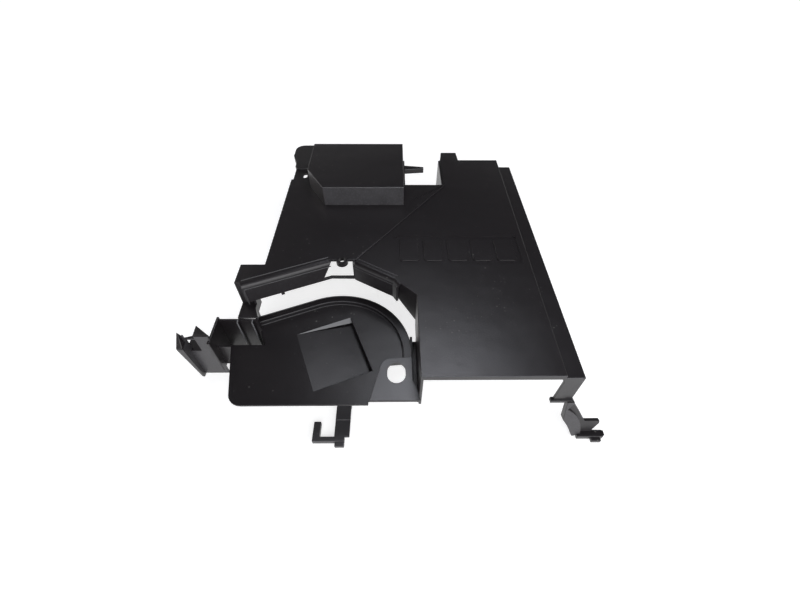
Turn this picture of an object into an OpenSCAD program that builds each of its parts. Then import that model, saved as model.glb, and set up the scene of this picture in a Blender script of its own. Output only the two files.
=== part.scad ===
// Server air baffle shroud: one injection moulding in black plastic.
// A flat duct cover on the right and a deck on the left share one roof. A curved cable slot
// runs between the deck and a lower tray, and three brackets locate the shroud in the chassis.
// X runs across the shroud, +Y is its rear edge, Z is up from the surface it stands on.

/* [Shell] */
// Wall thickness of the moulding
wall = 1.8; // [1.4:0.1:2.2]
// Height of the deck above the surface the shroud stands on
deck_z = 66; // [60:1:74]
// Depth of the lip turned down along the open edges
lip_h = 4; // [3:0.5:6]
// Thickness of the stiffening ribs under the roof
rib_t = 1.2; // [0.8:0.1:1.6]
// Depth of the stiffening ribs under the roof
rib_h = 3; // [2:0.5:5]
// Distance between the stiffening ribs
rib_pitch = 32; // [24:1:45]

/* [Duct cover] */
// Width of the duct cover, side strip included
duct_w = 100; // [92:1:110]
// Length of the duct cover from its front edge to its rear edge
duct_l = 246; // [230:1:265]
// Step from the deck down to the duct cover
ridge_step = 1.2; // [0.6:0.1:1.6]
// Width of the lower strip along the right side
strip_w = 12; // [8:1:16]
// Step from the duct cover down to the side strip
strip_drop = 2.6; // [1.8:0.1:4]
// Distance the side strip stops short of the rear edge
strip_gap = 9; // [5:1:15]
// Length of the tab behind the rear edge
tab_l = 14.5; // [10:0.5:20]
// Width of the tab behind the rear edge
tab_w = 15.5; // [10:0.5:20]

/* [Grip panel] */
// Width of the sunk grip panel on the duct cover
panel_w = 98; // [84:1:100]
// Length of the sunk grip panel
panel_l = 32.5; // [26:0.5:36]
// Depth of the sunk grip panel
panel_depth = 0.8; // [0.5:0.1:1]
// Height of the middle of the grip panel behind the front edge
panel_y = 112; // [95:1:130]
// Number of raised pads in the grip panel
pad_count = 5; // [3:1:7]
// Gap between the raised pads
pad_gap = 4; // [3:0.5:6]

/* [Deck] */
// Width from the deck's left edge to the right side of the duct
deck_w = 213; // [202:1:226]
// Length of the raised box at the rear of the deck
box_l = 74; // [60:1:80]
// Width of the raised box at its rear
box_w = 85.5; // [76:0.5:90]
// Height of the raised box above the deck
box_h = 18; // [12:1:24]
// Size of the cut corner at the front left of the box
box_cut = 16.5; // [10:0.5:22]
// Length of the finger on the right side of the box
finger_l = 20.5; // [14:0.5:26]
// Width of the notch in the rear edge
notch_w = 36; // [30:1:42]
// Length of the notch in the rear edge
notch_l = 46; // [36:1:54]
// Length of the rounded lug at the rear left corner
lug_l = 45; // [38:1:50]
// Reach of the lug behind the rear edge of the cover
lug_reach = 24; // [18:1:28]
// Rise of the lug above the deck
lug_rise = 1.6; // [1:0.1:2.4]
// Width of the locating slot in front of the lug
pin_slot_w = 4; // [3:0.1:5]
// Length of the locating slot
pin_slot_l = 7.4; // [6:0.1:9]

/* [Cable slot] */
// Distance from the front edge of the cover to the rear edge of the slot
slot_d = 100; // [92:1:108]
// Angle of the left run of the slot
slot_a = 22; // [18:1:25]
// Angle of the right run of the slot
mid_a = 31; // [27:1:34]
// Depth of the wall along the slot
slot_wall_h = 18; // [14:0.5:22]
// Outer radius of the rounded shoulder along the slot
shoulder_r = 3.6; // [2.6:0.1:4.4]
// Distance from the screw boss to the left side of the duct
boss_off = 55.5; // [50:0.5:60]
// Outer diameter of the screw boss
boss_d = 9; // [8:0.1:11]
// Diameter of the hole through the screw boss
boss_hole_d = 5.2; // [3.5:0.1:6]
// Length of the screw boss
boss_l = 4; // [3:0.5:8]
// Width of the window below the screw boss
window_w = 20; // [16:0.5:24]
// Width of the ear at the left end of the slot
ear_w = 18; // [16:0.5:22]

/* [Lower tray] */
// Height of the tray's floor above the surface the shroud stands on
tray_z = 31; // [26:1:36]
// Radius of the tray's rim where the slot bends
bend_r = 54; // [50:0.5:57]
// Width of the flat rim along the slot
rim_w = 6; // [4.5:0.5:8]
// Height of the rim above the tray
rim_h = 3.4; // [2:0.2:5]
// Depth of the rim's outer wall
rim_wall_h = 8; // [6:0.5:12]
// Gap between the tray and the side of the duct
slit_w = 3.5; // [2.5:0.5:4.5]
// Radius of the tray's front left corner
tray_r = 10; // [6:0.5:14]
// Width of the raised tab at the front right of the tray
pull_w = 33; // [28:0.5:38]
// Length of the raised tab
pull_l = 33; // [28:0.5:38]
// Height of the raised tab above the tray
pull_h = 5.6; // [4:0.2:8]
// Width of the finger hole in the raised tab
finger_hole_w = 12.4; // [10:0.2:15]
// Length of the finger hole in the raised tab
finger_hole_l = 15.8; // [15:0.2:20]
// Distance from the shallow end of the ramp to the side of the duct
ramp_off = 89; // [84:1:94]
// Distance from the slot's rear edge to the shallow end of the ramp
ramp_back = 45; // [42:1:50]
// Length of the sunk ramp in the tray
ramp_l = 42; // [34:1:46]
// Width of the sunk ramp
ramp_w = 50; // [40:1:54]
// Depth of the deep end of the ramp
ramp_depth = 5.6; // [3:0.2:8]
// Height of the gutter between the tray and the side of the duct
gutter_z = 24.5; // [20:0.5:25]
// Length of the gutter
gutter_l = 54; // [40:1:60]

/* [Brackets] */
// Reach of the left bracket beyond the deck's left edge
left_reach = 54; // [51:0.5:60]
// Reach of the right bracket beyond the side of the duct
right_reach = 29.5; // [28:0.5:36]
// Reach of the front hook beyond the front edge of the cover
front_reach = 17.5; // [14:0.5:22]
// Height of the left bracket
left_bracket_h = 49; // [44:0.5:52]
// Width of the front hook's tongue
tongue_w = 10.5; // [8:0.5:13]
// Inside width of the front hook
hook_gap = 10; // [7:0.5:12]
// Thickness of the front hook
hook_t = 4.4; // [3:0.2:6]
// Width of the wall that carries the right bracket
arm_w = 12.4; // [11:0.2:16]
// Depth of the wall that carries the right bracket
arm_h = 27.5; // [22:0.5:30]

/* [Hidden] */
$fn = 48;

// Overlap where two pieces of the moulding run into each other
weld = 0.6;
// Amount a cutting shape runs past the face that it cuts
past = 1;

// Places across the shroud
overall_w = left_reach + deck_w + right_reach;
x_deck = -overall_w / 2 + left_reach;
x_side = x_deck + deck_w;
x_duct = x_side - duct_w;
x_strip = x_side - strip_w;
x_boss = x_duct - boss_off;
x_ear = x_deck - ear_w;
x_tray = x_duct - slit_w;
x_pull = x_duct + wall / 2 - pull_w;
x_panel = x_strip - 5.5 - panel_w / 2;
x_outer = x_deck - left_reach;

// Places along the shroud
overall_l = front_reach + duct_l + lug_reach;
y_front = -overall_l / 2 + front_reach;
y_rear = y_front + duct_l;
y_slot = y_front + slot_d;
y_tray = y_front - 1;

// Heights
cover_z = deck_z - ridge_step;
strip_z = cover_z - strip_drop;
box_z = deck_z + box_h;
rim_z = tray_z + rim_h;
pull_z = tray_z + pull_h;

// Corners of the slot's rear edge, left to right
slot_left = [x_deck - 12.5, y_slot - (x_boss - window_w / 2 - x_deck + 12.5) * tan(slot_a)];
window_left = [x_boss - window_w / 2, y_slot];
window_right = [x_boss + window_w / 2, y_slot];
mid_end = [x_duct - 14.5, y_slot - (x_duct - 14.5 - x_boss - window_w / 2) * tan(mid_a)];
jog_end = mid_end + [3, -5];
duct_corner = [x_duct, jog_end[1] - (x_duct - jog_end[0])];

// Middle of the screw boss
boss = [x_boss, y_slot - 1];

// The raised box and what stands beside it
y_box = y_rear - 3.5 - box_l;
x_box = x_duct - 7.5;
y_notch = y_rear - notch_l;
x_notch = x_box + 2 + notch_w;
x_box_left = x_box - box_w;
y_box_rear = y_box + box_l;
y_lug = y_rear + lug_reach - lug_l;
pin_slot = [x_deck + 12.4, y_lug - 10];

// The tray's rim bends about this point
bend = [x_tray - bend_r, y_slot - 9.5 - bend_r];
y_well = slot_left[1] - 29.5;
// The rim ends in line with the ear
rim_run = round((bend[0] - (bend_r + 0.8) * sin(slot_a) - x_ear - 11.25) / cos(slot_a));

// ---- Outline functions ----

function unit(v) = v / norm(v);
function left_of(a, b) = let (u = unit(b - a)) [-u[1], u[0]];
function reversed(list) = [for (i = [len(list) - 1:-1:0]) list[i]];
function arc(centre, r, from, to, steps) =
    [for (i = [0:steps]) let (a = from + (to - from) * i / steps) centre + r * [cos(a), sin(a)]];

// Arc that rounds the corner q between p and s
function round_corner(p, q, s, r, steps) =
    let (u = unit(p - q), v = unit(s - q), half = acos(u * v) / 2)
    let (centre = q + unit(u + v) * r / sin(half), reach = r / tan(half))
    let (a = q + u * reach - centre, b = q + v * reach - centre)
    let (from = atan2(a[1], a[0]), turn = atan2(a[0] * b[1] - a[1] * b[0], a * b))
    arc(centre, r, from, from + turn, steps);

// Closed outline whose corners [x, y, r] are rounded by r
function rounded(corners, steps = 6) =
    let (n = len(corners), xy = [for (c = corners) [c[0], c[1]]])
    [for (i = [0:n - 1]) each (corners[i][2] > 0
        ? round_corner(xy[(i + n - 1) % n], xy[i], xy[(i + 1) % n], corners[i][2], steps)
        : [xy[i]])];

// Closed outline moved inwards by t; its points run anticlockwise
function inset(outline, t) =
    let (n = len(outline))
    [for (i = [0:n - 1])
        let (m = left_of(outline[(i + n - 1) % n], outline[i]), k = left_of(outline[i], outline[(i + 1) % n]))
        outline[i] + (m + k) * t / (1 + m * k)];

// Open path moved to its left by t
function beside(path, t) =
    let (n = len(path))
    [for (i = [0:n - 1])
        let (m = left_of(path[max(i - 1, 0)], path[max(i, 1)]))
        let (k = left_of(path[min(i, n - 2)], path[min(i + 1, n - 1)]))
        path[i] + (m + k) * t / (1 + m * k)];

// ---- Building modules ----

// Plate with its top face at height z
module plate(outline, z, t = wall) {
    translate([0, 0, z - t]) linear_extrude(t) polygon(outline);
}

// Upright wall of thickness t to the left of an open path, from height low to high
module wall_along(path, low, high, t = wall) {
    translate([0, 0, low]) linear_extrude(high - low) polygon(concat(path, reversed(beside(path, t))));
}

// Upright wall from a to b whose elevation is given as [distance, height] points
module shaped_wall(a, b, elevation, t = wall) {
    translate([a[0], a[1], 0]) rotate([90, 0, atan2(b[1] - a[1], b[0] - a[0])])
        translate([0, 0, -t]) linear_extrude(t) polygon(elevation);
}

// Section of [distance to the right of the path, height] points, swept along an open path. The second half of
// the points comes back along the first half, each point facing its partner.
module sweep(path, section) {
    n = len(path);
    m = len(section);
    rings = [for (s = section) beside(path, -s[0])];
    points = [for (i = [0:n - 1]) for (j = [0:m - 1]) [rings[j][i][0], rings[j][i][1], section[j][1]]];
    sides = [for (i = [0:n - 2]) for (j = [0:m - 1]) let (k = (j + 1) % m)
        [(i + 1) * m + j, (i + 1) * m + k, i * m + k, i * m + j]];
    last = (n - 1) * m;
    first_end = [for (j = [0:m / 2 - 2]) [j, j + 1, m - 2 - j, m - 1 - j]];
    last_end = [for (j = [0:m / 2 - 2]) [last + m - 1 - j, last + m - 2 - j, last + j + 1, last + j]];
    polyhedron(points, concat(sides, first_end, last_end));
}

module box_between(low, high) {
    translate(low) cube(high - low);
}

// Cutting shape of a hole with rounded ends, longer along Y
module slot_hole(centre, w, l, low, high) {
    half = (l - w) / 2;
    translate([centre[0], centre[1], low]) {
        for (y = [-half, half])
            translate([0, y, 0]) cylinder(d = w, h = high - low);
        translate([-w / 2, -half, 0]) cube([w, 2 * half, high - low]);
    }
}

// Hollow cap: a closed top over upright walls, open below
module cap(outline, low, high) {
    difference() {
        translate([0, 0, low]) linear_extrude(high - low) polygon(outline);
        translate([0, 0, low - past]) linear_extrude(high - wall - low + past) polygon(inset(outline, wall));
    }
}

// ---- Outlines of the roof ----

deck_outline = [
    [x_ear, slot_left[1]],
    slot_left,
    window_left,
    window_right,
    [x_notch, y_notch],
    [x_box + 2, y_notch],
    [x_box + 2, y_box_rear],
    [x_deck + 1.8, y_box_rear],
    [x_deck + 1.8, y_lug - 16],
    [x_deck, y_lug - 16],
    [x_deck, slot_left[1] + 19],
    [x_ear, slot_left[1] + 19],
];

cover_outline = [
    [x_duct, y_front],
    [x_strip, y_front],
    [x_strip, y_rear],
    [x_notch + 3 + tab_w, y_rear],
    [x_notch + 2 + tab_w, y_rear + tab_l],
    [x_notch + 2, y_rear + tab_l],
    [x_notch, y_rear],
    [x_notch, y_notch],
    window_right,
    mid_end,
    jog_end,
    duct_corner,
];

strip_outline = [
    [x_strip - weld, y_front],
    [x_side, y_front],
    [x_side, y_rear - strip_gap],
    [x_strip - weld, y_rear - strip_gap],
];

box_outline = [
    [x_box, y_box],
    [x_box, y_box_rear],
    [x_box_left, y_box_rear],
    [x_box_left, y_box + box_cut * 1.7],
    [x_box_left + box_cut, y_box],
];

lug_outline = rounded([
    [x_deck + 1, y_lug, 5],
    [x_box_left + weld, y_lug, 0],
    [x_box_left + weld, y_box_rear - weld, 0],
    [x_box_left + 10, y_box_rear - weld, 0],
    [x_box_left + 10, y_rear + lug_reach, 3],
    [x_deck - 4, y_rear + lug_reach, 9],
    [x_deck - 4, y_rear + 3, 12],
    [x_deck + 0.6, y_rear - 11, 4],
]);

// ---- The roof ----

module deck_plate() {
    plate(deck_outline, deck_z);
    // Shallow slope from the deck down to the duct cover
    sweep([[x_notch, y_notch], window_right], [
        [-weld, deck_z], [0, deck_z], [2.4, cover_z],
        [2.4, cover_z - wall / 2], [0, cover_z - wall / 2], [-weld, cover_z - wall / 2],
    ]);
    // Lip along the left side and the ear
    wall_along([[x_deck, y_lug - 16], [x_deck, slot_left[1] + 19], [x_ear, slot_left[1] + 19]],
        deck_z - 2 * lip_h, deck_z - weld);
    // Lip along the front and the left side of the notch
    wall_along([[x_notch, y_notch], [x_box + 2, y_notch], [x_box + 2, y_box_rear]], deck_z - 2 * lip_h, deck_z - weld);
    // Rounded lug beside the box
    cap(lug_outline, deck_z - lip_h, deck_z + lug_rise);
}

module cover_plate() {
    difference() {
        union() {
            plate(cover_outline, cover_z);
            // Pan of the sunk grip panel
            plate(panel_outline(wall), cover_z, wall + panel_depth);
        }
        plate(panel_outline(0), cover_z + past, panel_depth + past);
    }
    grip_pads();
    plate(strip_outline, strip_z);
    // Step between the cover and the side strip
    box_between([x_strip - wall, y_front, strip_z - wall], [x_strip, y_rear - strip_gap, cover_z - weld]);
    // Lips along the front edge, the rear edge and the tab
    wall_along([[x_duct, y_front], [x_strip, y_front]], cover_z - lip_h, cover_z - weld);
    wall_along([[x_strip - weld, y_front], [x_side, y_front]], strip_z - lip_h, strip_z - weld);
    wall_along([[x_strip, y_rear], [x_notch + 3 + tab_w, y_rear], [x_notch + 2 + tab_w, y_rear + tab_l],
        [x_notch + 2, y_rear + tab_l], [x_notch - 0.4, y_rear - tab_l / 5]], cover_z - lip_h, cover_z - weld);
    wall_along([[x_side, y_rear - strip_gap], [x_strip - weld, y_rear - strip_gap]], strip_z - lip_h, strip_z - weld);
}

function panel_outline(grow) =
    let (y = y_front + panel_y, w = panel_w / 2 + grow, l = panel_l / 2 + grow)
    rounded([[x_panel - w, y - l, 3], [x_panel + w, y - l, 3], [x_panel + w, y + l, 3], [x_panel - w, y + l, 3]], 4);

// Plain raised pads, evenly spaced in the sunk panel
module grip_pads() {
    pad_w = (panel_w - pad_gap * (pad_count + 1)) / pad_count;
    pad_l = panel_l - 2 * pad_gap;
    for (i = [0:pad_count - 1]) {
        x = x_panel - panel_w / 2 + pad_gap + i * (pad_w + pad_gap);
        y = y_front + panel_y - pad_l / 2;
        plate(rounded([[x, y, 2], [x + pad_w, y, 2], [x + pad_w, y + pad_l, 2], [x, y + pad_l, 2]], 4),
            cover_z, wall);
    }
}

// Cross ribs and long ribs under one part of the roof
module ribs(outline, z) {
    translate([0, 0, z - wall - rib_h]) linear_extrude(rib_h + weld) intersection() {
        polygon(outline);
        union() {
            for (x = [x_duct - 4 * rib_pitch:rib_pitch:x_side])
                translate([x + rib_pitch / 2, y_front]) square([rib_t, duct_l]);
            for (y = [y_front + rib_pitch:rib_pitch:y_rear])
                translate([x_ear, y]) square([x_side - x_ear, rib_t]);
        }
    }
}

// ---- The raised box and its finger ----

module raised_box() {
    cap(box_outline, deck_z - wall, box_z);
    // Finger that points across the notch
    translate([x_box - wall, y_box_rear - 17, deck_z - 5]) linear_extrude(5)
        polygon([[0, 0], [finger_l + wall, 2.4], [finger_l + wall, 5.4], [0, 8.5]]);
}

// ---- The slot's rear wall, its window and the screw boss ----

// Section of the slot's wall: a rounded shoulder over an upright wall
function shoulder(top, depth) = concat(
    [[-weld, top]],
    arc([0, top - shoulder_r], shoulder_r, 90, 0, 6),
    [[shoulder_r, top - depth], [shoulder_r - wall, top - depth]],
    arc([0, top - shoulder_r], shoulder_r - wall, 0, 90, 6),
    [[-weld, top - wall]]);

module slot_wall() {
    // The shoulder starts a little to the left of the deck's corner
    run = unit(window_left - slot_left);
    slot_start = slot_left - run;
    difference() {
        union() {
            sweep([slot_start, window_left, window_right - [0.5, 0]], shoulder(deck_z, slot_wall_h));
            sweep([window_right - [1.2, 0], window_right, mid_end, jog_end + [0.4, -0.7]], shoulder(cover_z, slot_wall_h));
        }
        // Window below the boss, with a band left along its lower edge
        translate([0, y_slot - weld, 0]) rotate([90, 0, 0]) linear_extrude(shoulder_r + 4) polygon([
            [window_left[0] - 5, deck_z - slot_wall_h + 2.4], [window_right[0] - 2, deck_z - slot_wall_h + 2.4],
            [window_right[0] - 2, deck_z + past], [window_left[0] + 2.5, deck_z + past],
        ]);
    }
    // Nub below the left run of the wall
    nub = slot_left + 24 * run - (shoulder_r - 0.2) * left_of(slot_left, window_left);
    wall_along([nub, nub + 2.6 * run], deck_z - slot_wall_h - 2.6, deck_z - slot_wall_h + weld, wall - 0.4);
    // Wall that turns the air into the duct, deeper towards the duct's side
    corner_run = norm(duct_corner - jog_end) + wall / 2;
    shaped_wall(jog_end, duct_corner, [
        [-shoulder_r, cover_z - slot_wall_h], [corner_run, pull_z - wall], [corner_run, cover_z - weld],
        [-shoulder_r, cover_z - weld],
    ]);
    // Left side of the duct in front of the slot
    wall_along([duct_corner, [x_duct, y_front]], tray_z - wall, cover_z - weld);
}

module screw_boss() {
    translate([boss[0], boss[1], deck_z + 0.8 - boss_l]) cylinder(d = boss_d, h = boss_l);
}

// ---- The ear, its ledge and the pocket below it ----

module ear_and_pocket() {
    y_ear = slot_left[1];
    ledge_z = deck_z - 22;
    y_ledge = y_ear - 14.5;
    x_well = x_ear - 15.5;
    corner = tray_end(-0.8);
    low = 8;
    // Ear: front wall and left wall down to the ledge
    wall_along([[x_ear, y_ear + 0.2], [slot_left[0] + 2.6, y_ear + 0.2]], ledge_z - wall, deck_z - weld);
    wall_along([[x_ear, y_ear + 19], [x_ear, y_ear]], ledge_z - wall, deck_z - weld);
    // Ledge in front of the ear
    plate([[x_ear, y_ledge], tray_end(8.6), corner, [corner[0], y_ear + wall], [x_ear, y_ear + wall]], ledge_z);
    // Left end of the slot, which runs on as the pocket's right wall
    end_top = [corner[0], y_ear + 2 * shoulder_r];
    wall_along([tray_end(26), corner, corner + [0, 3]], low, tray_z - wall / 2);
    wall_along([tray_end(9.5), corner, corner + [0, 3]], tray_z - wall, ledge_z - wall / 2);
    wall_along([corner + [0, 1], end_top], ledge_z - 8, ledge_z - wall / 2);
    wall_along([[corner[0], y_ear - 1.2], end_top], ledge_z - wall, deck_z - slot_wall_h + weld);
    // Pocket: rear wall, left wall and front wall
    wall_along([tray_end(9.5), [x_well, y_ledge]], low, ledge_z - wall / 2);
    wall_along([[x_well, y_ledge + 1], [x_well, y_well - 8]], low, ledge_z);
    wall_along([[x_well, y_well - wall], [tray_end(26)[0], y_well - wall]], low, tray_z);
    // Ribs on the pocket's rear wall
    for (x = [x_ear, x_ear + 10.5])
        box_between([x, y_ledge - 3.6, low], [x + rib_t, y_ledge - 1, ledge_z - 1]);
}

// ---- The lower tray ----

// Point at the left end of the rim, moved inwards by t
function tray_end(t, run = rim_run) = let (a = 90 + slot_a)
    bend + (bend_r - t) * [cos(a), sin(a)] + run * [-sin(a), cos(a)];

// Line along the rim, moved inwards by t, from the left end to the tab
function rim_path(t) = concat(
    [tray_end(t, rim_run + weld)],
    arc(bend, bend_r - t, 90 + slot_a, 0, 14),
    [[x_tray - t, y_tray + pull_l - weld]]);

pull_outline = rounded([
    [x_pull, y_tray, 0],
    [x_duct + wall / 2, y_tray, 0],
    [x_duct + wall / 2, y_tray + 3.5, 0],
    [x_tray, y_tray + 15, 0],
    [x_tray, y_tray + pull_l, 0],
    [x_pull + 8, y_tray + pull_l - 1.5, 8],
]);

module tray_plate() {
    x_well = x_ear - 15.5;
    inner = rim_path(rim_w - wall / 2);
    plate(rounded(concat(
        [[x_well + 21.5, y_tray, tray_r], [x_tray - 2, y_tray, 0], [x_tray - 2, y_tray + pull_l, 0]],
        [for (i = [len(inner) - 1:-1:0]) [inner[i][0], inner[i][1], 0]],
        [[tray_end(25, rim_run + weld)[0], y_well - wall / 2, 0], [x_well + 11, y_well - wall / 2, 0]])), tray_z);
}

module lower_tray() {
    difference() {
        union() {
            tray_plate();
            plate(pull_outline, pull_z, pull_h + wall);
            ramp_body();
            gutter();
        }
        // Space under the raised tab, open below its front lip
        plate(inset(pull_outline, wall), pull_z - wall, pull_h + past);
        box_between([x_pull - past, y_tray - past, tray_z - wall - past],
            [x_duct + wall, y_tray + wall + weld, pull_z - wall - weld]);
        ramp_space();
        finger_hole();
    }
    // Rim along the slot: flat top, outer wall and inner step
    rim_band(0, rim_w, rim_z - wall, rim_z);
    rim_band(0, wall, rim_z - rim_wall_h, rim_z - wall / 2);
    rim_band(rim_w - wall, rim_w, tray_z - wall, rim_z - wall / 2);
}

// Part of the rim between two distances from its outer edge, from height low to high
module rim_band(outer, inner, low, high) {
    translate([0, 0, low]) linear_extrude(high - low) polygon(concat(rim_path(outer), reversed(rim_path(inner))));
}

// Gutter that ties the tray to the side of the duct
module gutter() {
    low = [x_tray - wall / 2, y_tray + 6, gutter_z - wall];
    difference() {
        box_between(low, [x_duct + wall / 2, y_tray + gutter_l, tray_z]);
        box_between([x_tray + wall / 2, y_tray, gutter_z], [x_duct, y_tray + gutter_l + past, tray_z + past]);
    }
}

// The ramp lies parallel to the left run of the slot
module ramp_frame() {
    translate([x_duct - ramp_off, y_slot - ramp_back, tray_z]) rotate([0, 0, slot_a]) rotate([90, 0, 0]) children();
}

module ramp_body() {
    ramp_frame() translate([0, 0, -wall]) linear_extrude(ramp_w + 2 * wall)
        polygon([[0, 0], [ramp_l + wall, 0], [ramp_l + wall, -ramp_depth - wall], [0, -wall]]);
}

module ramp_space() {
    ramp_frame() linear_extrude(ramp_w)
        polygon([[0, 0], [ramp_l, -ramp_depth], [ramp_l, past], [0, past]]);
}

module finger_hole() {
    slot_hole([x_duct - 14.5, y_tray + 20.5], finger_hole_w, finger_hole_l, tray_z - wall, pull_z + past);
}

// ---- Brackets ----

module left_bracket() {
    x_well = x_ear - 15.5;
    y_wall = slot_left[1] - 33;
    x_rail = x_outer + 4.5;
    y_rail = y_wall - 7.5;
    latch_low = left_bracket_h - 17.5;
    // Upright wall with the open latch notch beside the rail
    difference() {
        box_between([x_rail - weld, y_wall - wall, 0], [x_well + wall, y_wall, left_bracket_h]);
        box_between([x_rail, y_wall - wall - past, latch_low], [x_rail + 7.5, y_wall + past, left_bracket_h + past]);
    }
    // Shelf behind the latch notch
    box_between([x_rail - weld, y_wall - weld, latch_low - wall], [x_rail + 7.5, y_wall + 9.5, latch_low]);
    box_between([x_outer + weld, y_wall + weld, latch_low - wall], [x_rail + weld, y_wall + 9.5, latch_low]);
    // Gusset behind the wall, which roofs the latch notch
    plate([[x_rail - weld, y_wall - weld], [x_well + weld, y_wall - weld], [x_well + weld, y_wall + 1.5],
        [x_rail + 3.9, y_wall + 11.2], [x_rail + 4.4, y_wall + 2.1], [x_rail - weld, y_wall + weld]], left_bracket_h - 4);
    // Outer rail, narrower towards its foot and cut back at the top
    difference() {
        translate([0, y_rail + 8.7, 0]) rotate([90, 0, 0]) linear_extrude(8.7) polygon([
            [x_outer + 2.5, 0], [x_rail, 0], [x_rail, left_bracket_h - 7], [x_outer + 0.7, left_bracket_h + 1],
            [x_outer, left_bracket_h + 1], [x_outer, left_bracket_h - 9],
        ]);
        translate([x_outer - past, 0, 0]) rotate([90, 0, 90]) linear_extrude(8) polygon([
            [y_rail - past, left_bracket_h - 7.6], [y_rail + 8.7, left_bracket_h + 1], [y_rail - past, left_bracket_h + 2],
        ]);
        translate([x_outer - past, 0, 0]) rotate([90, 0, 90]) linear_extrude(8) polygon([
            [y_rail - past, -past], [y_rail + 2.6, -past], [y_rail, left_bracket_h - 9], [y_rail - past, left_bracket_h - 9],
        ]);
    }
}

module front_hook() {
    x_hook = x_boss - 2;
    y_hook = y_front - 14.5;
    // Stem below the tray
    box_between([x_hook, y_front + 10.5, 0], [x_hook + tongue_w, y_front + 10.5 + wall, tray_z - weld]);
    // Tongue, thicker at the stem
    box_between([x_hook, y_hook + 3, hook_t - 2], [x_hook + tongue_w, y_front + 11, hook_t]);
    box_between([x_hook, y_front, hook_t - 2], [x_hook + tongue_w, y_front + 11, hook_t + 1]);
    // Arm, finger and foot
    box_between([x_hook - hook_gap - 5, y_hook, 0], [x_hook + tongue_w - 3.4, y_hook + 3.4, hook_t]);
    box_between([x_hook - hook_gap - 5, y_hook, 0], [x_hook - hook_gap, y_hook + 14, hook_t]);
    box_between([x_hook + 0.5, y_front - front_reach, 0], [x_hook + tongue_w - 3.4, y_hook + weld, hook_t - 1.4]);
}

module right_bracket() {
    x_arm = x_side - arm_w;
    low = strip_z - arm_h;
    // Wall below the front edge, with a flange along its foot
    translate([0, y_front + wall, 0]) rotate([90, 0, 0]) linear_extrude(wall)
        polygon([[x_arm + 0.2, low - weld], [x_side, low - weld], [x_side, strip_z - weld], [x_arm + 0.8, strip_z - weld]]);
    box_between([x_arm - 1.4, y_front - 1.2, low - 2.6], [x_side + 1, y_front + wall + 0.2, low]);
    // Strut that leans forward down to the foot, with a thinner claw beside it
    translate([x_side, y_front - 6.3, 2]) rotate([75, 0, 0]) {
        linear_extrude(4.5) polygon(concat(
            [[-3, 32.3], [-2.5, 15.5], [2, 8.8], [6, 1.5], [7.5, -2]], arc([-17, 0], 30, 0, 58, 6), [[2, 32.3]]));
        linear_extrude(2.8) polygon([
            [7.5, -2], [22, -1], [21.6, 3.2], [24.8, 9.8], [24.4, 12], [14, 12], [7, 23.5], [2, 31], [-1, 30],
        ]);
    }
    // Foot with its toe and tip
    box_between([x_side + 10.6, y_front - 12.6, 0], [x_side + 28.6, y_front - 7.6, 4]);
    box_between([x_side + 20, y_front - 15.2, 0], [x_side + 26.6, y_front - 12, 3]);
    box_between([x_side + 28, y_front - 11.8, 0], [x_side + right_reach, y_front - 8.4, 4.6]);
}

// ---- Walls below the roof ----

module side_wall() {
    low = strip_z - arm_h;
    shaped_wall([x_side, y_front], [x_side, y_rear - strip_gap], [
        [0, low], [55, low], [75, 0], [duct_l - strip_gap, 0],
        [duct_l - strip_gap, strip_z - weld], [0, strip_z - weld],
    ]);
}

module rear_walls() {
    // Right side of the notch, down to the surface the shroud stands on
    wall_along([[x_notch, y_notch], [x_notch, y_rear]], 0, cover_z - weld);
    // Below the rear of the box
    wall_along([[x_box, y_box_rear], [x_box_left, y_box_rear]], deck_z - 22, deck_z);
    wall_along([[x_box + 2, y_notch], [x_box + 2, y_box_rear]], deck_z - 22, deck_z - weld);
}

module baffle_shell() {
    color("#232426") difference() {
        union() {
            deck_plate();
            cover_plate();
            ribs(inset(cover_outline, wall / 2), cover_z);
            ribs(inset(deck_outline, wall / 2), deck_z);
            raised_box();
            slot_wall();
            screw_boss();
            ear_and_pocket();
            lower_tray();
            left_bracket();
            front_hook();
            right_bracket();
            side_wall();
            rear_walls();
        }
        // Hollow under the raised box
        translate([0, 0, deck_z - wall - rib_h - past]) linear_extrude(box_h + rib_h + past)
            polygon(inset(box_outline, wall));
        // Hole through the screw boss
        translate([boss[0], boss[1], deck_z - boss_l]) cylinder(d = boss_hole_d, h = boss_l + 2 * past);
        // Locating slot in front of the lug
        slot_hole(pin_slot, pin_slot_w, pin_slot_l, deck_z - wall - past, deck_z + past);
    }
}

baffle_shell();
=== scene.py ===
"""Looks of a server air baffle shroud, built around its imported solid.

The shroud is one black moulding: a duct cover and a stepped deck with a raised box, a curved cable slot
over a lower tray, and brackets on three sides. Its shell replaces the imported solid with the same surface,
its edges rounded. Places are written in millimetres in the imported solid's frame, and meshes are made in
metres.
"""

import logging
import math
from dataclasses import dataclass
from enum import Enum

import bmesh
import bpy
from mathutils import Matrix, Vector


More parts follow.
